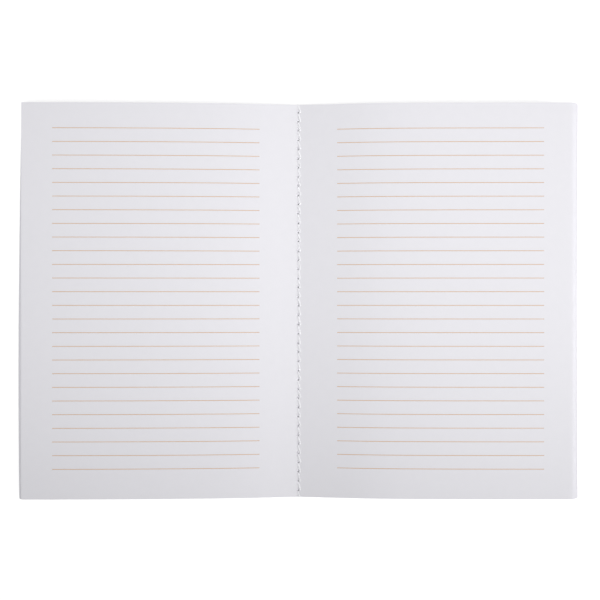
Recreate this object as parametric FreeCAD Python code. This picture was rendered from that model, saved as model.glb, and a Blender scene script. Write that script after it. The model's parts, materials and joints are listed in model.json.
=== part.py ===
import FreeCAD, Part
import math
import os
from FreeCAD import Vector

# An A5 notebook of folded sheets sewn through the fold, lying open at its centre spread.
# X runs across the spread, Y from the foot to the head of the page, Z up from the table.
# Distances called u are measured from the fold, outwards over either half.

# Paper and card
page_height = 210.0       # head to foot
page_width = 148.0        # fold to fore edge, as trimmed when closed
sheet_count = 20          # folded sheets, each one a leaf on both sides of the fold
leaf_thickness = 0.13     # one leaf and the air under it, pressed at the fold
card_thickness = 0.35     # cover
corner_radius = 0.4       # trimmed fore edge corners, all but square

# Open, the middle leaves end short of the trimmed width, and the cover reaches past it but
# at the left head corner.
left_leaf_short = 1.7
right_leaf_short = 2.9
left_cover_past_foot = 0.95
left_cover_past_middle = 1.2
left_cover_past_head = -1.25
right_cover_past_foot = 1.85
right_cover_past_middle = 1.4
right_cover_past_head = 2.2

# The top leaf rises from the fold on a straight slope, and then levels out over a run.
left_rise = 6.3
left_ramp = 18.0          # length of the straight slope
left_run = 47.0           # distance in which most of the rest is risen
right_rise = 5.45
right_ramp = 29.0
right_run = 24.0

# Seam
stitch_pitch = 4.94
seam_margin = 3.5         # least distance from the last holes to head and foot
hole_width = 0.8          # needle hole, across its corners
needle_thread = 0.7       # thread inside the fold
bobbin_thread = 0.5       # thread outside, under the spine
thread_gap = 0.1

# Spine: a shallow hollow under the fold that holds the outer thread off the table
hollow_flat = 1.0         # half width of its level top
hollow_half = 6.0         # half width where it runs out to the table

# The spine turns about a line above the gutter when the notebook is closed.
hinge_rise = 2.0

hollow_depth = bobbin_thread + 2 * thread_gap
card_top = hollow_depth + card_thickness
block = sheet_count * leaf_thickness
gutter_z = card_top + block
lock_z = hollow_depth + (card_thickness + block) / 2
half_height = page_height / 2
beyond = 10.0             # how far cutting shapes reach past what they cut
arch_points = 10          # spans of the curve through the top leaf


class Half:
    """One side of the spread: its sign along X, fore edges, and the arch of its top leaf."""

    def __init__(self, side, leaf_short, cover_past, rise, ramp, run):
        self.side = side
        self.leaf = page_width - leaf_short
        self.cover = [page_width + past for past in cover_past]
        self.slope = rise / (ramp + run)
        self.ramp = ramp
        self.run = run
        self.reach = max(self.cover) + beyond
        self.fore_z = self.top(self.leaf)

    def top(self, u):
        """Height of the top leaf at the distance u from the fold."""
        levelling = 1 - math.exp(-max(u - self.ramp, 0) / self.run)
        return gutter_z + self.slope * (min(u, self.ramp) + self.run * levelling)

    def edge(self, z):
        """Fore edge at foot, middle and head, on the slope from the cover to the top leaf."""
        share = (z - card_thickness) / (self.fore_z - card_thickness)
        return [outer + (self.leaf - outer) * share for outer in self.cover]

    def point(self, u, y, z):
        return Vector(self.side * u, y, z)


left = Half(-1, left_leaf_short,
            (left_cover_past_foot, left_cover_past_middle, left_cover_past_head),
            left_rise, left_ramp, left_run)
right = Half(1, right_leaf_short,
             (right_cover_past_foot, right_cover_past_middle, right_cover_past_head),
             right_rise, right_ramp, right_run)

# The origin is under the middle of the footprint, so the fold stands a little beside it.
fold_x = (max(left.cover) - max(right.cover)) / 2


def line(a, b):
    return Part.LineSegment(a, b).toShape()


def arc(a, via, b):
    """An arc through three points, or a line where they are in one."""
    bend = (via - a).cross(b - via).Length
    if bend < 1e-6:
        return line(a, b)
    return Part.Arc(a, via, b).toShape()


def outline(half, z):
    """Plan of one half at the height z, from the fold round its rounded fore edge."""
    foot, middle, head = half.edge(z)
    r = corner_radius
    inset = r * (1 - math.sqrt(0.5))
    a = half.point(0, -half_height, z)
    b = half.point(foot - r, -half_height, z)
    c = half.point(foot, r - half_height, z)
    d = half.point(head, half_height - r, z)
    e = half.point(head - r, half_height, z)
    f = half.point(0, half_height, z)
    return Part.Wire([
        line(a, b),
        arc(b, half.point(foot - inset, inset - half_height, z), c),
        arc(c, half.point(middle, 0, z), d),
        arc(d, half.point(head - inset, half_height - inset, z), e),
        line(e, f),
        line(f, a),
    ])


def along_spine(half, edges):
    """A section across the spine, drawn at the foot and drawn out to the head."""
    face = Part.Face(Part.Wire(edges))
    return face.extrude(Vector(0, page_height, 0))


def path(half, corners):
    """Lines through corners given as (u, z), in the plane of the foot."""
    points = [half.point(u, -half_height, z) for u, z in corners]
    return [line(a, b) for a, b in zip(points, points[1:])]


def hole_rows():
    """Places of the needle holes along the fold, in the middle of the page height."""
    steps = int((page_height - 2 * seam_margin) / stitch_pitch)
    first = -steps * stitch_pitch / 2
    return [first + step * stitch_pitch for step in range(steps + 1)]


def octagon(width, turn):
    """Eight corners on a circle of the given width, as pairs, from the angle turn."""
    angles = [turn + step * math.pi / 4 for step in range(9)]
    return [(width / 2 * math.cos(a), width / 2 * math.sin(a)) for a in angles]


def pierce(shape):
    """Cut the needle holes, of which each half holds one side."""
    rise = Vector(0, 0, gutter_z + 2 * beyond)
    holes = []
    for y in hole_rows():
        ring = [Vector(du, y + dy, -beyond) for du, dy in octagon(hole_width, 0)]
        holes.append(Part.Face(Part.makePolygon(ring)).extrude(rise))
    return shape.cut(Part.makeCompound(holes))


def cover(half):
    """Card that lies flat and lifts over the outer thread at the spine."""
    section = along_spine(half, path(half, [
        (0, hollow_depth), (hollow_flat, hollow_depth), (hollow_half, 0), (half.reach, 0),
        (half.reach, card_thickness), (hollow_half, card_thickness), (hollow_flat, card_top),
        (0, card_top), (0, hollow_depth),
    ]))
    plan = Part.Face(outline(half, card_thickness))
    plan.translate(Vector(0, 0, -card_thickness - beyond))
    return pierce(section.common(plan.extrude(Vector(0, 0, card_top + 2 * beyond))))


def pages(half):
    """The leaves of one half as one block, arched on top and fanned at the fore edge."""
    span = (half.reach - half.ramp) / arch_points
    stations = [half.ramp + step * span for step in range(arch_points + 1)]
    arch = Part.BSplineCurve()
    arch.interpolate([half.point(u, -half_height, half.top(u)) for u in stations])
    section = along_spine(half, path(half, [
        (0, gutter_z), (0, card_top), (hollow_flat, card_top), (hollow_half, card_thickness),
        (half.reach, card_thickness), (half.reach, half.top(half.reach)),
    ]) + [arch.toShape(), line(
        half.point(half.ramp, -half_height, half.top(half.ramp)),
        half.point(0, -half_height, gutter_z))])
    fan = Part.makeLoft([outline(half, 0), outline(half, half.fore_z + card_top)], True, True)
    return pierce(section.common(fan))


def thread(diameter, bottom_z, leg_to):
    """A thread along the fold, with a leg through each hole to where the threads lock."""
    middle_z = bottom_z + diameter / 2
    over_corners = diameter / math.cos(math.pi / 8)
    ring = [Vector(du, -half_height, middle_z + dz)
            for du, dz in octagon(over_corners, math.pi / 8)]
    run = Part.Face(Part.makePolygon(ring)).extrude(Vector(0, page_height, 0))
    width = 0.4 * diameter
    low, high = sorted((leg_to, middle_z))
    legs = [Part.makeBox(width, width, high - low, Vector(-width / 2, y - width / 2, low))
            for y in hole_rows()]
    return run.multiFuse(legs).removeSplitter()


def single(shape):
    """The one solid in a shape."""
    assert len(shape.Solids) == 1, len(shape.Solids)
    return shape.Solids[0]


nodes = {
    "front_cover": cover(left),
    "left_pages": pages(left),
    "back_cover": cover(right),
    "right_pages": pages(right),
    "needle_thread": thread(needle_thread, gutter_z + thread_gap, lock_z),
    "bobbin_thread": thread(bobbin_thread, thread_gap, lock_z),
}

os.makedirs("parts", exist_ok=True)
for name, shape in nodes.items():
    solid = single(shape)
    solid.translate(Vector(fold_x, 0, 0))
    solid.exportStep("parts/" + name + ".step")
    box = solid.BoundBox
    print(name, solid.isValid(), round(solid.Volume), [round(v, 3) for v in (
        box.XMin, box.XMax, box.YMin, box.YMax, box.ZMin, box.ZMax)])
print("hinge", fold_x, gutter_z + hinge_rise)
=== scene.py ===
import json
import math
import random

import bpy
from bpy.props import FloatProperty, FloatVectorProperty, IntProperty, PointerProperty
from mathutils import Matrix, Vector


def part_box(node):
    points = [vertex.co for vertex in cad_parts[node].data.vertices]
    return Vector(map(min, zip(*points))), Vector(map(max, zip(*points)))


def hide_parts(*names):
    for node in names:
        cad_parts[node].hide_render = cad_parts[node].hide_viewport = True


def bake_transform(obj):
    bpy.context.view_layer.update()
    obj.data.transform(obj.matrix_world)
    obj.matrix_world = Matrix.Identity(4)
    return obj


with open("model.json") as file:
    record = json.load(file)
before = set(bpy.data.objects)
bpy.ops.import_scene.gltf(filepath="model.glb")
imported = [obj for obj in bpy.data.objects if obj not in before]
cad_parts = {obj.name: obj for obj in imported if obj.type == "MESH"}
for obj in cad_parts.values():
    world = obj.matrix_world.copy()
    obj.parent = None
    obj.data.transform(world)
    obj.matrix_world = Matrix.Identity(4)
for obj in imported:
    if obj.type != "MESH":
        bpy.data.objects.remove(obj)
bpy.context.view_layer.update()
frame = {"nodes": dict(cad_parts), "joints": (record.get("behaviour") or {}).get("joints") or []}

bl_info = {
    "name": "Sewn Notebook",
    "version": (1, 0, 0),
    "blender": (4, 5, 0),
    "location": "3D View > Sidebar > Notebook",
    "description": "Dresses an open, ruled and thread-sewn notebook",
    "category": "Object",
}

MM = 0.001
HINGE = Vector(frame["joints"][0]["pos_m"])
COVER_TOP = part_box("front_cover")[1].z
ROUNDING = 1e-9           # slack where two lengths are compared
NEAR_FOLD = 0.01 * MM     # what still counts as lying on the fold

# Seeds of the random draws
HOLE_SEED = 5
SHEET_SEED = 20
STITCH_SEED = 42

# Rows and columns of a sheet's mesh
CORNER_ROWS = (0, 0.06, 0.25, 0.55, 1)       # in from head and foot, as parts of the corner
ROW_SPANS = 12                               # spans from foot to head between the corners
BEND_COLUMNS = 8                             # on either side of the fold
BEND_CROWDING = 1.3                          # above 1, these columns crowd towards the fold
FAR_COLUMNS = (12, 16, 21, 27, 34, 43, 54, 67, 82, 100, 120)    # mm out from the fold
EDGE_COLUMNS = (6, 2.4, 1.6, 1.0, 0.5, 0)    # mm in from the fore edge
EDGE_BORDER = 0.1 * MM                       # border that follows a trimmed corner
LEAST_STEP = 0.03 * MM                       # rows and columns closer than this are one
SNAP_REACH = 0.1 * MM                        # a hole's rows move this far to meet another row
TRIM_ANGLE = 35                              # degrees from which a sheet's edge is crisp

# The block of mesh that holds one needle hole
HOLE_SPAN = 0.95 * MM     # half of its width
HOLE_REACH = 1.5 * MM     # half of its height
HOLE_COLUMNS = (-HOLE_SPAN, -HOLE_SPAN / 3, HOLE_SPAN / 3, HOLE_SPAN)
HOLE_TAPER = 0.75         # how much narrower a hole ends towards the head

# Rings of a needle hole, from the outside in: size as a part of the hole, depth that the
# thread has pressed it in, and how far it is drawn towards the foot. The bobbin thread draws
# the rims in the cover up.
TOP_RINGS = (
    (2.1, 0.0, 0.0),
    (1.9, 0.15 * MM, 0.03 * MM),
    (1.45, 0.34 * MM, 0.15 * MM),
    (0.8, 0.5 * MM, 0.4 * MM),
)
UNDER_RINGS = TOP_RINGS[:1]
COVER_RINGS = (
    (1.2, -0.02 * MM, 0.0),
    (0.95, -0.08 * MM, 0.0),
)

# Unevenness of the leaves
AIR_SPREAD = 0.2          # how much the air over a leaf strays, as a part of it
WAVES = 4                 # waves laid over each other
WAVE_ACROSS = (45, 120)   # least and greatest length of a wave across the spread, mm
WAVE_ALONG = (60, 160)    # the same along the fold, mm
WAVE_START = 60 * MM      # distance from the fold in which a wave grows to its height
SECTION_WAVE = 1.0        # wave that all leaves share, as a part of the set height
LEAF_RIPPLE = 0.35        # wave of each leaf's own, as a part of the air it has to play in

# Stitches
STITCH_DIVE = -1.2 * MM   # depth to which a stitch is drawn inside its holes
SLANT_SPREAD = 0.15       # how much the slant strays, as a part of it
LOOP_SPREAD = 0.2         # how much the height of a loop strays, as a part of it
STITCH_STEPS = 5          # points between two corners of a stitch's path
END_STEPS = 8             # the same in the stitches that run out at head and foot
BOBBIN_STEPS = 4          # the same in the bobbin thread
BOBBIN_RISE = 1.0 * MM    # height over its run to which the bobbin thread goes into a hole
BOBBIN_BEND = 0.35 * MM   # height at which it bends there
BOBBIN_STITCH = (         # part of the way from hole to hole, and height over the run
    (0.0, BOBBIN_RISE),
    (0.06, BOBBIN_BEND),
    (0.16, 0.0),
    (0.5, 0.0),
    (0.84, 0.0),
    (0.94, BOBBIN_BEND),
    (1.0, BOBBIN_RISE),
)
BOBBIN_SETTLED = 0.2      # part of the way from the last hole at which the tail lies level

# Stage
SENSOR_WIDTH = 36         # mm
NEAR_CLIP = 10 * MM
FLOOR_REACH = 6.0         # metres from the middle to each side
FLOOR_DROP = 0.2 * MM     # how far the floor lies under the cover
GLOW_NEAR, GLOW_FAR = 0.3, 1.2    # metres between which the floor's glow grows to white
WHITE = (1, 1, 1, 1)


def linear(hex_colour):
    """A colour written as sRGB hex, as linear red, green and blue."""
    channels = [int(hex_colour[i:i + 2], 16) / 255 for i in (1, 3, 5)]
    return tuple(c / 12.92 if c <= 0.04045 else ((c + 0.055) / 1.055) ** 2.4 for c in channels)


def length(name, description, default_mm):
    """A size in millimetres as a property in metres."""
    return FloatProperty(name=name, description=description, default=default_mm * MM,
                         min=0.0, max=1.0, unit="LENGTH", precision=4)


def position(name, description, metres):
    """A place in the scene as a property."""
    return FloatVectorProperty(name=name, description=description, default=metres, size=3,
                               subtype="TRANSLATION", unit="LENGTH", precision=3)


def colour(name, description, hex_colour):
    """A colour as a property."""
    return FloatVectorProperty(name=name, description=description, subtype="COLOR", size=3,
                               min=0.0, max=1.0, default=linear(hex_colour))


def gutter_height():
    """Height of the page surface at the fold, read from the packed page block."""
    vertices = frame["nodes"]["right_pages"].data.vertices
    return max(v.co.z for v in vertices if abs(v.co.x - HINGE.x) < NEAR_FOLD)


class NotebookPaper(bpy.types.PropertyGroup):
    """Leaves and cover"""
    sheets: IntProperty(name="Sheets", description="Folded sheets in the section", default=20,
                        min=2, max=40)
    thickness: length("Paper", "Thickness of one leaf", 0.09)
    card: length("Card", "Thickness of the cover", 0.35)
    corner: length("Corner", "Radius of the trimmed corners", 0.4)
    bend: length("Bend", "Half width of the stretch that bends at the spine", 9.0)
    hollow_flat: length("Hollow top", "Half width of the level top of the spine's hollow", 1.0)
    hollow_half: length("Hollow", "Half width of the spine's hollow", 6.0)
    left_leaf: length("Left leaf", "Fold to fore edge of the top leaf", 146.3)
    left_ramp: length("Left slope", "Straight slope beside the fold", 18.0)
    left_run: length("Left run", "Distance in which the leaf levels out", 47.0)
    left_foot_step: length("Left foot step", "Cover's fore edge set back at the foot", 0.5)
    left_middle_step: length("Left middle step", "Cover's fore edge set back half way", 0.2)
    left_head_step: length("Left head step", "Cover's fore edge set back at the head", 2.7)
    right_leaf: length("Right leaf", "Fold to fore edge of the top leaf", 145.1)
    right_ramp: length("Right slope", "Straight slope beside the fold", 29.0)
    right_run: length("Right run", "Distance in which the leaf levels out", 24.0)
    right_foot_step: length("Right foot step", "Cover's fore edge set back at the foot", 0.5)
    right_middle_step: length("Right middle step", "Cover's fore edge set back half way", 0.9)
    right_head_step: length("Right head step", "Cover's fore edge set back at the head", 0.3)
    right_curl: length("Right curl", "How far the leaves' right fore edges droop", 0.03)
    curl_width: length("Curl", "Width of the drooping border", 2.2)
    settling: FloatProperty(name="Settling", description="Air over a leaf, as a part of the air "
                            "over the leaf below it", default=0.65, min=0.0, max=1.0)
    wave: length("Wave", "Height of the slow waves in the leaves", 0.06)
    paper_colour: colour("Paper", "Writing paper", "#F1F0F5")
    card_colour: colour("Card", "Cover card", "#EFEFF2")


class NotebookRuling(bpy.types.PropertyGroup):
    """Printed lines"""
    lines: IntProperty(name="Lines", description="Lines on a page", default=26, min=1, max=60)
    pitch: length("Pitch", "Distance from line to line", 7.218)
    width: length("Width", "Width of a printed line", 0.3)
    head: length("Head margin", "Head of the page to the first line", 13.56)
    fold_margin: length("Fold margin", "Fold to the near end of the lines", 20.7)
    run: length("Length", "Length of a line", 109.3)
    ink_colour: colour("Ink", "Ruling ink", "#D4A268")


class NotebookSewing(bpy.types.PropertyGroup):
    """Seam through the fold"""
    pitch: length("Stitch", "Distance from hole to hole", 4.94)
    margin: length("Margin", "Least distance from a hole to head and foot", 3.5)
    uneven: length("Uneven", "How far a hole strays from the even pitch", 0.2)
    hole_width: length("Hole width", "Needle hole across the fold", 0.8)
    hole_height: length("Hole height", "Needle hole along the fold, stretched by the thread", 1.1)
    needle: length("Needle thread", "Diameter of the thread inside the fold", 0.75)
    loop: length("Loop", "How far a stitch stands up where it turns into its lower hole", 0.1)
    pressed: FloatProperty(name="Pressed", description="Height of the thread that lies on the "
                           "paper, as a part of its diameter", default=0.33, min=0.1, max=1.0)
    bobbin: length("Bobbin thread", "Diameter of the thread under the spine", 0.5)
    slant: length("Slant", "How far a stitch strays to the right of its hole", 0.95)
    twist: length("Twist", "Length of one turn of the plies", 1.8)
    thread_colour: colour("Thread", "Bleached cotton", "#F9F9FC")


class NotebookStage(bpy.types.PropertyGroup):
    """Camera, lamps and floor"""
    camera_height: length("Camera height", "Camera above the gutter", 420.0)
    camera_x: length("Camera aside", "Camera to the right of the fold", 0.91)
    camera_y: length("Camera up", "Camera towards the head", 0.43)
    lens: length("Lens", "Focal length for a sensor 36 mm wide", 47.05)
    key_power: FloatProperty(name="Key lamp", description="Power of the low lamp on the right",
                             default=4.85, min=0.0, subtype="POWER")
    key_place: position("Key place", "Where the low lamp stands", (0.86, -0.15, 0.20))
    key_aim: position("Key aim", "Where the low lamp points", (-0.25, 0.51, 0.0))
    key_size: length("Key size", "Side of the low lamp", 300.0)
    fill_power: FloatProperty(name="Fill lamp", description="Power of the overhead soft box",
                              default=1.74, min=0.0, subtype="POWER")
    fill_place: position("Fill place", "Where the overhead soft box hangs", (0.03, -0.06, 0.48))
    fill_aim: position("Fill aim", "Where the overhead soft box points", (0.0, 1.2, 0.0))
    fill_size: length("Fill size", "Side of the overhead soft box", 450.0)
    ambient: FloatProperty(name="Ambient", description="Strength of the light from all round",
                           default=0.4, min=0.0)
    floor_colour: colour("Floor", "Floor", "#E6E6E6")
    floor_glow: FloatProperty(name="Floor glow", description="Light that the floor adds of its "
                              "own near the notebook, where it is seen", default=0.6, min=0.0)


# Materials

def add_node(tree, kind, settings=(), links=()):
    """A node with its settings, and its inputs set to values or linked to other sockets."""
    node = tree.nodes.new(kind)
    for name, value in dict(settings).items():
        setattr(node, name, value)
    for socket, value in dict(links).items():
        if isinstance(value, bpy.types.NodeSocket):
            tree.links.new(value, node.inputs[socket])
        else:
            node.inputs[socket].default_value = value
    return node


def new_material(name):
    """A node material without any nodes yet, and its tree."""
    material = bpy.data.materials.new(name)
    material.use_nodes = True
    material.node_tree.nodes.clear()
    return material, material.node_tree


def flat_place(tree):
    """Where a point lies on its sheet or ply when that is laid flat, in millimetres."""
    flat = add_node(tree, "ShaderNodeUVMap", {"uv_map": "flat"})
    to_mm = add_node(tree, "ShaderNodeVectorMath", {"operation": "SCALE"}, {
        0: flat.outputs[0], "Scale": 1 / MM})
    return to_mm.outputs[0]


def toned(tree, base, factor, spread):
    """The base colour, lighter and darker by spread as the factor varies about a half."""
    tone = add_node(tree, "ShaderNodeMapRange", {}, {
        "Value": factor, "To Min": 1 - spread, "To Max": 1 + spread})
    scaled = add_node(tree, "ShaderNodeVectorMath", {"operation": "SCALE"}, {
        0: tuple(base), "Scale": tone.outputs[0]})
    return scaled.outputs[0]


def writing_paper(base):
    """Wood-free writing paper, calendered: matt and cool white, with cloudy formation when
    looked at closely, and a fine felt grain that breaks up grazing light."""
    cloud_mm, grain_mm = 5.0, 0.25
    material, tree = new_material("writing_paper")
    flat = flat_place(tree)
    cloud = add_node(tree, "ShaderNodeTexNoise", {}, {
        "Vector": flat, "Scale": 1 / cloud_mm, "Detail": 3.0})
    grain = add_node(tree, "ShaderNodeTexNoise", {}, {
        "Vector": flat, "Scale": 1 / grain_mm, "Detail": 4.0, "Roughness": 0.7})
    matt = add_node(tree, "ShaderNodeMapRange", {}, {
        "Value": grain.outputs[0], "To Min": 0.82, "To Max": 0.94})
    bump = add_node(tree, "ShaderNodeBump", {}, {
        "Strength": 0.25, "Distance": 0.02 * MM, "Height": grain.outputs[0]})
    surface = add_node(tree, "ShaderNodeBsdfPrincipled", {}, {
        "Base Color": toned(tree, base, cloud.outputs[0], 0.012),
        "Roughness": matt.outputs[0],
        "Specular IOR Level": 0.25,
        "IOR": 1.45,
        "Normal": bump.outputs[0],
    })
    add_node(tree, "ShaderNodeOutputMaterial", {}, {"Surface": surface.outputs[0]})
    return material


def ruling_ink(ink, paper):
    """Thin offset ink on uncoated paper: matt, soaked in, and a little uneven along the line,
    so that the paper shows through it in specks."""
    speck_mm = 0.3
    first, second = 6, 7      # the two colour sockets of a Mix node
    material, tree = new_material("offset_ruling_ink")
    flat = flat_place(tree)
    specks = add_node(tree, "ShaderNodeTexNoise", {}, {
        "Vector": flat, "Scale": 1 / speck_mm, "Detail": 3.0, "Roughness": 0.6})
    cover = add_node(tree, "ShaderNodeMapRange", {}, {
        "Value": specks.outputs[0], "To Min": 0.6, "To Max": 1.25})
    mixed = add_node(tree, "ShaderNodeMix", {"data_type": "RGBA", "clamp_factor": True}, {
        0: cover.outputs[0], first: (*paper, 1.0), second: (*ink, 1.0)})
    surface = add_node(tree, "ShaderNodeBsdfPrincipled", {}, {
        "Base Color": mixed.outputs[2],
        "Roughness": 0.8,
        "Specular IOR Level": 0.25,
        "IOR": 1.5,
    })
    add_node(tree, "ShaderNodeOutputMaterial", {}, {"Surface": surface.outputs[0]})
    return material


def cover_card(base):
    """Uncoated white card: stiffer stock than the leaves, with a coarser tooth that shows as a
    soft pebble in side light."""
    tooth_mm, cloud_mm = 0.6, 9.0
    material, tree = new_material("uncoated_card")
    flat = flat_place(tree)
    tooth = add_node(tree, "ShaderNodeTexNoise", {}, {
        "Vector": flat, "Scale": 1 / tooth_mm, "Detail": 4.0, "Roughness": 0.65})
    cloud = add_node(tree, "ShaderNodeTexNoise", {}, {
        "Vector": flat, "Scale": 1 / cloud_mm, "Detail": 2.0})
    matt = add_node(tree, "ShaderNodeMapRange", {}, {
        "Value": tooth.outputs[0], "To Min": 0.7, "To Max": 0.9})
    bump = add_node(tree, "ShaderNodeBump", {}, {
        "Strength": 0.4, "Distance": 0.04 * MM, "Height": tooth.outputs[0]})
    surface = add_node(tree, "ShaderNodeBsdfPrincipled", {}, {
        "Base Color": toned(tree, base, cloud.outputs[0], 0.015),
        "Roughness": matt.outputs[0],
        "Specular IOR Level": 0.3,
        "IOR": 1.45,
        "Normal": bump.outputs[0],
    })
    add_node(tree, "ShaderNodeOutputMaterial", {}, {"Surface": surface.outputs[0]})
    return material


def cotton_thread(base):
    """Bleached cotton thread, plied: soft white with a faint sheen, and hairy fibres that lie
    along the plies. Both threads share it."""
    name = "plied_cotton_thread"
    if name in bpy.data.materials:
        return bpy.data.materials[name]
    fibre_mm = 0.08
    material, tree = new_material(name)
    flat = flat_place(tree)
    fibres = add_node(tree, "ShaderNodeTexNoise", {}, {
        "Vector": flat, "Scale": 1 / fibre_mm, "Detail": 3.0, "Roughness": 0.6})
    bump = add_node(tree, "ShaderNodeBump", {}, {
        "Strength": 0.5, "Distance": 0.03 * MM, "Height": fibres.outputs[0]})
    surface = add_node(tree, "ShaderNodeBsdfPrincipled", {}, {
        "Base Color": toned(tree, base, fibres.outputs[0], 0.05),
        "Roughness": 0.75,
        "Specular IOR Level": 0.3,
        "IOR": 1.5,
        "Sheen Weight": 0.25,
        "Sheen Roughness": 0.4,
        "Normal": bump.outputs[0],
    })
    add_node(tree, "ShaderNodeOutputMaterial", {}, {"Surface": surface.outputs[0]})
    return material


# Form of the leaves

def smooth(t):
    """0 to 1 with level ends."""
    t = min(max(t, 0.0), 1.0)
    return t * t * (3 - 2 * t)


class Half:
    """One side of the spread, measured outwards from the fold in metres."""

    def __init__(self, side, node, leaf, ramp, run, steps, curl=0.0, curl_width=0.0):
        low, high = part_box(node)
        self.side = side
        self.leaf = leaf
        self.ramp = ramp
        self.run = run
        reach = max(abs(low.x - HINGE.x), abs(high.x - HINGE.x))
        self.foot_edge, self.middle_edge, self.head_edge = (reach - step for step in steps)
        self.half_height = high.y
        self.gutter = gutter_height()
        self.slope = (high.z - self.gutter) / self.risen(leaf)
        self.curl = curl
        self.curl_width = curl_width

    def risen(self, u):
        """The top leaf's rise at u for a slope of one."""
        levelling = 1 - math.exp(-max(u - self.ramp, 0) / self.run)
        return min(u, self.ramp) + self.run * levelling

    def top(self, u):
        """Height of the top leaf's upper face at u."""
        return self.gutter + self.slope * self.risen(u)

    def droop(self, u):
        """How far a leaf hangs below its arch near the fore edge."""
        if not self.curl:
            return 0.0
        return self.curl * max(1 - (self.leaf - u) / self.curl_width, 0) ** 2

    def outer_edge(self, y):
        """Fore edge of the cover, through its places at foot, middle and head."""
        t = y / self.half_height
        tilt = (self.head_edge - self.foot_edge) / 2
        bow = (self.head_edge + self.foot_edge) / 2 - self.middle_edge
        return self.middle_edge + tilt * t + bow * t * t

    def trimmed(self, u, y, share, corner):
        """Where u comes to lie on the leaf this share of the way up the stack, which is
        stretched to reach its own fore edge and has rounded corners."""
        outer = self.outer_edge(y)
        edge = outer + (self.leaf - outer) * share
        reach = u * edge / self.leaf
        if u > self.leaf - EDGE_BORDER:
            reach -= corner_inset(y, self.half_height, corner)
        return reach


def halves(paper):
    """The left and the right side of the spread."""
    left = Half(-1, "left_pages", paper.left_leaf, paper.left_ramp, paper.left_run,
                (paper.left_foot_step, paper.left_middle_step, paper.left_head_step))
    right = Half(1, "right_pages", paper.right_leaf, paper.right_ramp, paper.right_run,
                 (paper.right_foot_step, paper.right_middle_step, paper.right_head_step),
                 paper.right_curl, paper.curl_width)
    return left, right


def card_top(paper, u):
    """Upper face of the cover, which lifts over the bobbin thread at the fold."""
    lift = COVER_TOP - paper.card
    span = paper.hollow_half - paper.hollow_flat
    return paper.card + lift * (1 - smooth((u - paper.hollow_flat) / span))


def hole_rows(sewing, half_height):
    """Places of the needle holes along the fold, as uneven as the machine's feed."""
    rng = random.Random(HOLE_SEED)
    steps = int((2 * half_height - 2 * sewing.margin) / sewing.pitch)
    first = -steps * sewing.pitch / 2
    return [first + step * sewing.pitch + rng.uniform(-sewing.uneven, sewing.uneven)
            for step in range(steps + 1)]


def corner_inset(y, half_height, radius):
    """How far a rounded corner draws the fore edge in at y."""
    into = radius - (half_height - abs(y))
    if into <= 0:
        return 0.0
    return radius - math.sqrt(max(radius * radius - into * into, 0.0))


def merged(values):
    """Sorted values with near repeats left out."""
    kept = []
    for value in sorted(values):
        if not kept or value - kept[-1] > LEAST_STEP:
            kept.append(value)
    return kept


def snapped(value, marks):
    """The nearest mark, if there is one close by, or else the value itself."""
    nearest = min(marks, key=lambda mark: abs(mark - value))
    return nearest if abs(nearest - value) < SNAP_REACH else value


def edge_rows(half_height, radius):
    """Rows for the rounded corners at head and foot, and a few between them."""
    near = [half_height - radius * share for share in CORNER_ROWS]
    middle = [-half_height + 2 * half_height * i / ROW_SPANS for i in range(1, ROW_SPANS)]
    return near + [-y for y in near] + middle


def column_distances(half, bend, extra):
    """Columns on one half: close together where the spine bends, wide apart on the flat."""
    near = [HOLE_SPAN / 3, HOLE_SPAN]
    near += [HOLE_SPAN + (bend - HOLE_SPAN) * (i / BEND_COLUMNS) ** BEND_CROWDING
             for i in range(1, BEND_COLUMNS + 1)]
    far = [u * MM for u in FAR_COLUMNS]
    last = [half.leaf - inwards * MM for inwards in EDGE_COLUMNS]
    return merged(near + far + last + list(extra))


def spread_columns(sides, bend, extra=()):
    """Columns across the whole spread."""
    left, right = [column_distances(half, bend, extra) for half in sides]
    return [-u for u in reversed(left)] + right


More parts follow.
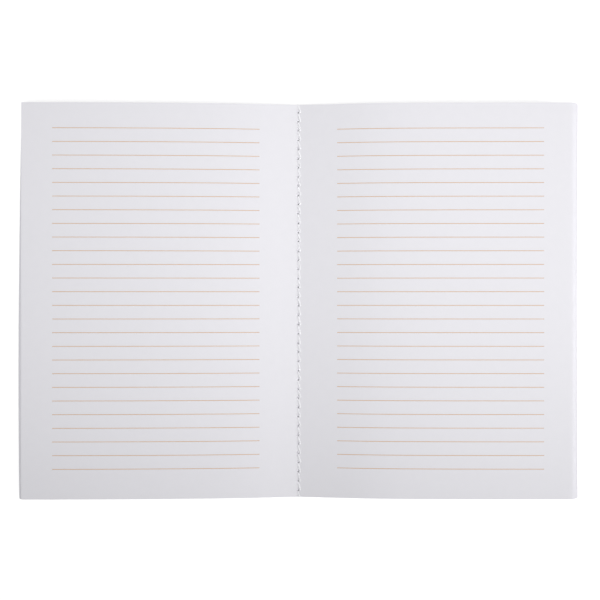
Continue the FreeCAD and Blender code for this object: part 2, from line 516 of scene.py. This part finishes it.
class Sheet:
    """Mesh of one folded sheet: an outer grid, a finer band along the fold, and needle holes."""

    def __init__(self, place, columns, rows, holes, rings, sewing):
        self.place = place
        self.columns = columns
        self.rows = rows
        self.holes = holes
        self.rings = rings
        self.sewing = sewing
        self.blocks = [(snapped(y - HOLE_REACH, rows), snapped(y + HOLE_REACH, rows))
                       for y in holes]
        thirds = [snapped(y + HOLE_REACH * part, rows) for y in holes for part in (-1 / 3, 1 / 3)]
        self.fine_rows = merged([y for block in self.blocks for y in block] + thirds + rows)
        self.points = []
        self.flat = []
        self.faces = []
        self.inked = []
        self.known = {}

    def add_point(self, u, y, sink=0.0):
        """A new point of the mesh, pressed in by sink, and its number."""
        self.points.append(self.place(u, y) - Vector((0, 0, sink)))
        self.flat.append((u, y))
        return len(self.points) - 1

    def add_face(self, face, inked=False):
        """A face of paper, or of ink on it."""
        self.faces.append(face)
        self.inked.append(inked)

    def grid_point(self, u, y):
        """The number of the grid's point at a place, added where there is none yet."""
        key = (round(u / MM, 4), round(y / MM, 4))
        if key not in self.known:
            self.known[key] = self.add_point(u, y)
        return self.known[key]

    def in_band(self, u):
        """Whether a column is in the finer band along the fold."""
        return abs(u) <= HOLE_SPAN + ROUNDING

    def rows_inside(self, rows, low, high):
        """The rows that lie between two others."""
        return [y for y in rows if low + ROUNDING < y < high - ROUNDING]

    def column_rows(self, u, low, high):
        """Rows up one column, with the finer ones where it borders on the band."""
        rows = self.fine_rows if self.in_band(u) else self.rows
        return [low, *self.rows_inside(rows, low, high), high]

    def outer_faces(self, is_ruled):
        """The grid on both leaves, with the printed lines as faces of their own."""
        for a, b in zip(self.columns, self.columns[1:]):
            if self.in_band(a) and self.in_band(b):
                continue
            for low, high in zip(self.rows, self.rows[1:]):
                face = [self.grid_point(b, y) for y in self.column_rows(b, low, high)]
                face += [self.grid_point(a, y)
                         for y in reversed(self.column_rows(a, low, high))]
                self.add_face(face, is_ruled((a + b) / 2, (low + high) / 2))

    def inner_faces(self):
        """The band along the fold, between the needle holes."""
        for low, high in zip(self.fine_rows, self.fine_rows[1:]):
            middle = (low + high) / 2
            if any(bottom < middle < top for bottom, top in self.blocks):
                continue
            for a, b in zip(HOLE_COLUMNS, HOLE_COLUMNS[1:]):
                corners = ((a, low), (b, low), (b, high), (a, high))
                self.add_face([self.grid_point(u, y) for u, y in corners])

    def hole_faces(self, centre, low, high):
        """Rings of faces from the square block in to the rim of a needle hole."""
        side = self.rows_inside(self.fine_rows, low, high)
        loop = [(u, low) for u in HOLE_COLUMNS]
        loop += [(HOLE_SPAN, y) for y in side]
        loop += [(u, high) for u in reversed(HOLE_COLUMNS)]
        loop += [(-HOLE_SPAN, y) for y in reversed(side)]
        outer = [self.grid_point(u, y) for u, y in loop]
        for size, sink, shift in self.rings:
            inner = []
            for u, y in loop:
                angle = math.atan2((y - centre) / HOLE_REACH, u / HOLE_SPAN)
                half_width = size * self.sewing.hole_width / 2
                half_width *= 1 - HOLE_TAPER * max(math.sin(angle), 0)
                inner.append(self.add_point(
                    half_width * math.cos(angle),
                    centre - shift + size * self.sewing.hole_height / 2 * math.sin(angle),
                    sink))
            for i in range(len(loop)):
                after = (i + 1) % len(loop)
                self.add_face([outer[i], outer[after], inner[after], inner[i]])
            outer = inner

    def build(self, name, materials, thickness, is_ruled=lambda u, y: False):
        """The sheet as a closed object of the given thickness."""
        self.outer_faces(is_ruled)
        self.inner_faces()
        for y, (low, high) in zip(self.holes, self.blocks):
            self.hole_faces(y, low, high)
        mesh = new_mesh(name, self.points, self.faces, self.flat, materials)
        mesh.polygons.foreach_set("material_index", [int(inked) for inked in self.inked])
        return thickened(name, mesh, thickness)


def new_mesh(name, points, faces, flat, materials):
    """A mesh with its flat coordinates, in metres, and its materials."""
    mesh = bpy.data.meshes.new(name)
    mesh.from_pydata(points, [], faces)
    layer = mesh.uv_layers.new(name="flat")
    for loop in mesh.loops:
        layer.data[loop.index].uv = flat[loop.vertex_index]
    for material in materials:
        mesh.materials.append(material)
    return mesh


def new_object(name, data):
    """An object with the given mesh, lamp or camera, in the scene."""
    thing = bpy.data.objects.new(name, data)
    bpy.context.scene.collection.objects.link(thing)
    return thing


def thickened(name, mesh, thickness):
    """An object with the mesh given its thickness to either side, and crisp trimmed edges."""
    piece = new_object(name, mesh)
    solid = piece.modifiers.new("thickness", "SOLIDIFY")
    solid.thickness = thickness
    solid.offset = 0
    depsgraph = bpy.context.evaluated_depsgraph_get()
    final = bpy.data.meshes.new_from_object(piece.evaluated_get(depsgraph))
    piece.modifiers.clear()
    piece.data = final
    final.name = name
    finish_shading(final, TRIM_ANGLE)
    return piece


def finish_shading(mesh, angle):
    """Smooth shading, but for edges sharper than the angle in degrees."""
    mesh.polygons.foreach_set("use_smooth", [True] * len(mesh.polygons))
    mesh.set_sharp_from_angle(angle=math.radians(angle))


def blend_at_spine(piece):
    """Bake the transform of a piece that crosses the spine into its mesh."""
    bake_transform(piece)


def air_gaps(paper, rng):
    """Air over each leaf but the topmost, as parts of all the air between cover and top leaf.
    The lowest leaf lies on the cover, the next ones sag, and the upper ones stay together."""
    gaps = [paper.settling ** number * rng.uniform(1 - AIR_SPREAD, 1 + AIR_SPREAD)
            for number in range(paper.sheets - 1)]
    total = sum(gaps)
    return [gap / total for gap in gaps]


def slow_wave(rng, amount):
    """A slow wave across a spread, still at the fold."""
    waves = [(rng.uniform(*WAVE_ACROSS) * MM, rng.uniform(*WAVE_ALONG) * MM,
              rng.uniform(0, math.tau)) for _ in range(WAVES)]

    def height(side, away, y):
        total = 0.0
        for across, along, phase in waves:
            total += math.sin(math.tau * (y / along + side * away / across) + phase)
        return amount * total / len(waves) * smooth(away / WAVE_START)

    return height


def sheet_place(paper, sides, number, gaps, wave, ripple):
    """Where a point of the numbered sheet lies, from its distance to the fold and its height."""
    upwards = number / (paper.sheets - 1)
    air_above = sum(gaps[number:])
    play = min(gaps[number - 1], gaps[number]) if 0 < number < len(gaps) else 0.0
    pressed_stack = sides[0].gutter - COVER_TOP - paper.thickness

    def place(u, y):
        half = sides[0] if u < 0 else sides[1]
        away = abs(u)
        floor = card_top(paper, away) + paper.thickness / 2
        ceiling = half.top(min(away, half.leaf)) - paper.thickness / 2
        air = ceiling - floor - pressed_stack
        z = ceiling - (1 - upwards) * pressed_stack - air * air_above
        z += air * play * ripple(half.side, away, y)
        z += (1 - air_above) * (paper.wave * wave(half.side, away, y) - half.droop(away))
        reach = half.trimmed(away, y, upwards, paper.corner)
        return Vector((HINGE.x + half.side * reach, y, z))

    return place


def cover_place(paper, sides):
    """Where a point of the cover's middle layer lies, from its distance to the fold."""
    def place(u, y):
        half = sides[0] if u < 0 else sides[1]
        away = abs(u)
        reach = half.trimmed(away, y, 0.0, paper.corner)
        z = card_top(paper, away) - paper.card / 2
        return Vector((HINGE.x + half.side * reach, y, z))

    return place


def ruled_rows(ruling, half_height):
    """Low and high edge of each printed line, from the first below the head."""
    rows = []
    for number in range(ruling.lines):
        y = half_height - ruling.head - number * ruling.pitch
        rows.append((y - ruling.width / 2, y + ruling.width / 2))
    return rows


# Threads

def smooth_path(points, steps):
    """Points along a curve that passes smoothly through the given ones."""
    padded = [points[0] * 2 - points[1], *points, points[-1] * 2 - points[-2]]
    path = []
    for a, b, c, d in zip(padded, padded[1:], padded[2:], padded[3:]):
        for step in range(steps):
            t = step / steps
            path.append(0.5 * (2 * b + (c - a) * t + (2 * a - 5 * b + 4 * c - d) * t * t
                               + (3 * b - a - 3 * c + d) * t * t * t))
    return path + [points[-1]]


class Thread:
    """Mesh of a plied thread, added stitch by stitch."""

    PLIES = 3
    SIDES = 7                 # of each ply
    PLY_RADIUS = 0.26         # radius of a ply, as a part of the thread's diameter
    PLY_OFFSET = 0.25         # from the thread's middle line to a ply's, likewise
    PLY_ANGLE = 60            # degrees from which an edge is crisp, more than round a ply

    def __init__(self, diameter, twist, pressed=1.0):
        self.ply_radius = diameter * self.PLY_RADIUS
        self.ply_offset = diameter * self.PLY_OFFSET
        self.twist = twist
        self.pressed = pressed
        self.points = []
        self.faces = []
        self.flat = []

    def add(self, path):
        """Lay the plies round one path."""
        for ply in range(self.PLIES):
            self.add_ply(path, ply * math.tau / self.PLIES)

    def add_ply(self, path, phase):
        """One ply round the path, turned by its phase, with closed ends."""
        first = len(self.points)
        travelled = 0.0
        for i, centre in enumerate(path):
            ahead = path[min(i + 1, len(path) - 1)]
            behind = path[max(i - 1, 0)]
            tangent = (ahead - behind).normalized()
            across = tangent.cross(Vector((1, 0, 0))).normalized()
            along_x = across.cross(tangent)
            across *= self.pressed
            travelled += (centre - behind).length
            turn = phase + math.tau * travelled / self.twist
            middle = centre + (along_x * math.cos(turn) + across * math.sin(turn)) * self.ply_offset
            for corner in range(self.SIDES):
                angle = corner * math.tau / self.SIDES
                out = along_x * math.cos(angle) + across * math.sin(angle)
                self.points.append(middle + out * self.ply_radius)
                self.flat.append((angle * self.ply_radius, travelled))
        last = first + (len(path) - 1) * self.SIDES
        for ring in range(first, last, self.SIDES):
            for corner in range(self.SIDES):
                a = ring + corner
                b = ring + (corner + 1) % self.SIDES
                self.faces.append([a, b, b + self.SIDES, a + self.SIDES])
        self.faces.append([first + corner for corner in reversed(range(self.SIDES))])
        self.faces.append([last + corner for corner in range(self.SIDES)])

    def build(self, name, material):
        """The thread as an object."""
        mesh = new_mesh(name, self.points, self.faces, self.flat, [material])
        finish_shading(mesh, self.PLY_ANGLE)
        return new_object(name, mesh)


def stitch_points(upper, lower, sewing, surface, rng):
    """Middle line of a stitch, from inside one hole, over the paper and into the next."""
    lift = sewing.needle * sewing.pressed / 2
    slant = sewing.slant * rng.uniform(1 - SLANT_SPREAD, 1 + SLANT_SPREAD)
    loop = lift + sewing.loop * rng.uniform(1 - LOOP_SPREAD, 1 + LOOP_SPREAD)
    shape = (    # part of the slant, part of the way to the lower hole, height over the paper
        (-0.1, 0.1, STITCH_DIVE),
        (-0.1, 0.15, -2 * lift),
        (-0.05, 0.23, 0.4 * lift),
        (0.1, 0.32, lift),
        (0.4, 0.52, lift),
        (0.75, 0.72, (lift + loop) / 2),
        (1.0, 0.9, loop),
        (1.0, 1.03, loop),
        (0.75, 1.12, -0.5 * lift),
        (0.4, 1.13, -3 * lift),
        (0.25, 1.13, STITCH_DIVE),
    )
    return [Vector((HINGE.x + slant * across, upper + (lower - upper) * down, surface + up))
            for across, down, up in shape]


class NOTEBOOK_OT_cover(bpy.types.Operator):
    """Fold the card cover round the section"""
    bl_idname = "notebook.cover"
    bl_label = "Cover"

    def execute(self, context):
        paper = context.scene.notebook_paper
        sewing = context.scene.notebook_sewing
        sides = halves(paper)
        half_height = sides[0].half_height
        sheet = Sheet(cover_place(paper, sides), spread_columns(sides, paper.bend),
                      merged(edge_rows(half_height, paper.corner)),
                      hole_rows(sewing, half_height), COVER_RINGS, sewing)
        piece = sheet.build("card_cover", [cover_card(paper.card_colour)], paper.card)
        blend_at_spine(piece)
        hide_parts("front_cover", "back_cover")
        return {"FINISHED"}


class NOTEBOOK_OT_sheets(bpy.types.Operator):
    """Fold the ruled sheets into the section"""
    bl_idname = "notebook.sheets"
    bl_label = "Sheets"

    def execute(self, context):
        scene = context.scene
        paper = scene.notebook_paper
        ruling = scene.notebook_ruling
        rng = random.Random(SHEET_SEED)
        materials = [writing_paper(paper.paper_colour),
                     ruling_ink(ruling.ink_colour, paper.paper_colour)]
        sides = halves(paper)
        gaps = air_gaps(paper, rng)
        wave = slow_wave(rng, SECTION_WAVE)
        for number in range(paper.sheets):
            place = sheet_place(paper, sides, number, gaps, wave, slow_wave(rng, LEAF_RIPPLE))
            topmost = number == paper.sheets - 1
            piece = self.fold(scene, "sheet_%02d" % (number + 1), place, sides, materials, topmost)
            blend_at_spine(piece)
            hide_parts("left_pages", "right_pages")
        return {"FINISHED"}

    def fold(self, scene, name, place, sides, materials, topmost):
        """One folded sheet. Only the topmost shows its ruled spread and its holes' rims."""
        paper = scene.notebook_paper
        ruling = scene.notebook_ruling
        sewing = scene.notebook_sewing
        half_height = sides[0].half_height
        near, far = ruling.fold_margin, ruling.fold_margin + ruling.run
        printed = ruled_rows(ruling, half_height) if topmost else []
        rows = edge_rows(half_height, paper.corner) + [y for pair in printed for y in pair]
        columns = spread_columns(sides, paper.bend, (near, far) if topmost else ())
        rings = TOP_RINGS if topmost else UNDER_RINGS

        def is_ruled(u, y):
            return near < abs(u) < far and any(low < y < high for low, high in printed)

        sheet = Sheet(place, columns, merged(rows), hole_rows(sewing, half_height), rings, sewing)
        return sheet.build(name, materials, paper.thickness, is_ruled)


class NOTEBOOK_OT_needle_thread(bpy.types.Operator):
    """Sew the needle thread down the centre fold"""
    bl_idname = "notebook.needle_thread"
    bl_label = "Needle thread"

    def execute(self, context):
        sewing = context.scene.notebook_sewing
        low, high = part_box("needle_thread")
        surface = gutter_height()
        holes = hole_rows(sewing, high.y)
        rng = random.Random(STITCH_SEED)
        thread = Thread(sewing.needle, sewing.twist, sewing.pressed)
        for lower, upper in zip(holes, holes[1:]):
            stitch = stitch_points(upper, lower, sewing, surface, rng)
            thread.add(smooth_path(stitch, STITCH_STEPS))
        first = stitch_points(holes[-1] + sewing.pitch, holes[-1], sewing, surface, rng)
        last = stitch_points(holes[0], holes[0] - sewing.pitch, sewing, surface, rng)
        thread.add([point for point in smooth_path(first, END_STEPS) if point.y < high.y])
        thread.add([point for point in smooth_path(last, END_STEPS) if point.y > low.y])
        piece = thread.build("needle_stitches", cotton_thread(sewing.thread_colour))
        blend_at_spine(piece)
        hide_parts("needle_thread")
        return {"FINISHED"}


class NOTEBOOK_OT_bobbin_thread(bpy.types.Operator):
    """Sew the bobbin thread along the outside of the spine"""
    bl_idname = "notebook.bobbin_thread"
    bl_label = "Bobbin thread"

    def execute(self, context):
        sewing = context.scene.notebook_sewing
        low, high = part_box("bobbin_thread")
        run_z = low.z + sewing.bobbin / 2
        holes = hole_rows(sewing, high.y)
        thread = Thread(sewing.bobbin, sewing.twist)
        for lower, upper in zip(holes, holes[1:]):
            run = upper - lower
            stitch = [Vector((HINGE.x, upper - run * down, run_z + up))
                      for down, up in BOBBIN_STITCH]
            thread.add(smooth_path(stitch, BOBBIN_STEPS))
        for hole, end in ((holes[-1], high.y), (holes[0], low.y)):
            tail = [Vector((HINGE.x, hole, run_z + BOBBIN_RISE)),
                    Vector((HINGE.x, hole + (end - hole) * BOBBIN_SETTLED, run_z)),
                    Vector((HINGE.x, end, run_z))]
            thread.add(smooth_path(tail, BOBBIN_STEPS))
        piece = thread.build("bobbin_stitches", cotton_thread(sewing.thread_colour))
        blend_at_spine(piece)
        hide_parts("bobbin_thread")
        return {"FINISHED"}


def add_lamp(name, place, aim, size, power):
    """A square soft box at a place, turned to where it aims."""
    light = bpy.data.lights.new(name, "AREA")
    light.shape = "SQUARE"
    light.size = size
    light.energy = power
    lamp = new_object(name, light)
    lamp.location = place
    lamp.rotation_euler = (Vector(aim) - Vector(place)).to_track_quat("-Z", "Y").to_euler()


def seen_directly(tree):
    """1 for rays from the camera, and for those that a gloss or clear surface sends on."""
    path = add_node(tree, "ShaderNodeLightPath")
    either = add_node(tree, "ShaderNodeMath", {"operation": "MAXIMUM"}, {
        0: path.outputs["Is Glossy Ray"], 1: path.outputs["Is Transmission Ray"]})
    seen = add_node(tree, "ShaderNodeMath", {"operation": "MAXIMUM"}, {
        0: path.outputs["Is Camera Ray"], 1: either.outputs[0]})
    return seen.outputs[0]


class NOTEBOOK_OT_stage(bpy.types.Operator):
    """Set up the camera, the soft boxes and the pale floor"""
    bl_idname = "notebook.stage"
    bl_label = "Stage"

    def execute(self, context):
        scene = context.scene
        stage = scene.notebook_stage
        scene.view_settings.view_transform = "Standard"
        self.add_camera(scene, stage)
        add_lamp("key_soft_box", stage.key_place, stage.key_aim, stage.key_size,
                 stage.key_power)
        add_lamp("overhead_soft_box", stage.fill_place, stage.fill_aim, stage.fill_size,
                 stage.fill_power)
        self.add_world(scene, stage)
        self.add_floor(stage)
        return {"FINISHED"}

    def add_camera(self, scene, stage):
        """A camera that looks straight down on the fold."""
        camera = new_object("camera", bpy.data.cameras.new("camera"))
        camera.location = (HINGE.x + stage.camera_x, stage.camera_y,
                           gutter_height() + stage.camera_height)
        camera.data.sensor_width = SENSOR_WIDTH
        camera.data.lens = stage.lens / MM
        camera.data.clip_start = NEAR_CLIP
        scene.camera = camera

    def add_world(self, scene, stage):
        """Even light from all round, which is seen as white."""
        world = bpy.data.worlds.new("studio")
        world.use_nodes = True
        tree = world.node_tree
        tree.nodes.clear()
        strength = add_node(tree, "ShaderNodeMapRange", {}, {
            "Value": seen_directly(tree), "To Min": stage.ambient, "To Max": 1.0})
        background = add_node(tree, "ShaderNodeBackground", {}, {
            "Color": WHITE, "Strength": strength.outputs[0]})
        add_node(tree, "ShaderNodeOutputWorld", {}, {"Surface": background.outputs[0]})
        scene.world = world

    def add_floor(self, stage):
        """A matt pale sweep that looks white, and keeps the notebook's soft shadow."""
        mesh = bpy.data.meshes.new("floor")
        corners = [(-1, -1), (1, -1), (1, 1), (-1, 1)]
        mesh.from_pydata([(x * FLOOR_REACH, y * FLOOR_REACH, -FLOOR_DROP) for x, y in corners],
                         [], [(0, 1, 2, 3)])
        floor = new_object("floor", mesh)
        material, tree = new_material("matt_white_sweep")
        diffuse = add_node(tree, "ShaderNodeBsdfDiffuse", {}, {
            "Color": (*stage.floor_colour, 1.0)})
        place = add_node(tree, "ShaderNodeTexCoord")
        away = add_node(tree, "ShaderNodeVectorMath", {"operation": "LENGTH"}, {
            0: place.outputs["Object"]})
        whiter = add_node(tree, "ShaderNodeMapRange", {}, {
            "Value": away.outputs["Value"], "From Min": GLOW_NEAR, "From Max": GLOW_FAR,
            "To Min": stage.floor_glow, "To Max": 1.0})
        glow = add_node(tree, "ShaderNodeMath", {"operation": "MULTIPLY"}, {
            0: seen_directly(tree), 1: whiter.outputs[0]})
        emission = add_node(tree, "ShaderNodeEmission", {}, {"Strength": glow.outputs[0]})
        both = add_node(tree, "ShaderNodeAddShader", {}, {
            0: diffuse.outputs[0], 1: emission.outputs[0]})
        add_node(tree, "ShaderNodeOutputMaterial", {}, {"Surface": both.outputs[0]})
        mesh.materials.append(material)


class NOTEBOOK_PT_panel(bpy.types.Panel):
    """Lists the steps that dress the notebook, and its sizes and colours"""
    bl_idname = "NOTEBOOK_PT_panel"
    bl_label = "Notebook"
    bl_space_type = "VIEW_3D"
    bl_region_type = "UI"
    bl_category = "Notebook"

    def draw(self, context):
        for operator in OPERATORS:
            self.layout.operator(operator.bl_idname)
        for name, group in GROUPS.items():
            box = self.layout.box()
            box.label(text=group.__doc__)
            for field in group.__annotations__:
                box.prop(getattr(context.scene, name), field)


GROUPS = {
    "notebook_paper": NotebookPaper,
    "notebook_ruling": NotebookRuling,
    "notebook_sewing": NotebookSewing,
    "notebook_stage": NotebookStage,
}
OPERATORS = (
    NOTEBOOK_OT_cover,
    NOTEBOOK_OT_sheets,
    NOTEBOOK_OT_needle_thread,
    NOTEBOOK_OT_bobbin_thread,
    NOTEBOOK_OT_stage,
)
CLASSES = (*GROUPS.values(), *OPERATORS, NOTEBOOK_PT_panel)


def register():
    """Add the classes, and the notebook's properties to the scene."""
    for cls in CLASSES:
        bpy.utils.register_class(cls)
    for name, group in GROUPS.items():
        setattr(bpy.types.Scene, name, PointerProperty(type=group))


def unregister():
    """Take the properties and the classes away again."""
    for name in GROUPS:
        delattr(bpy.types.Scene, name)
    for cls in reversed(CLASSES):
        bpy.utils.unregister_class(cls)


def main():
    """Dress the notebook piece by piece."""
    register()
    bpy.ops.notebook.cover()
    bpy.ops.notebook.sheets()
    bpy.ops.notebook.needle_thread()
    bpy.ops.notebook.bobbin_thread()
    bpy.ops.notebook.stage()


if __name__ == "__main__":
    main()
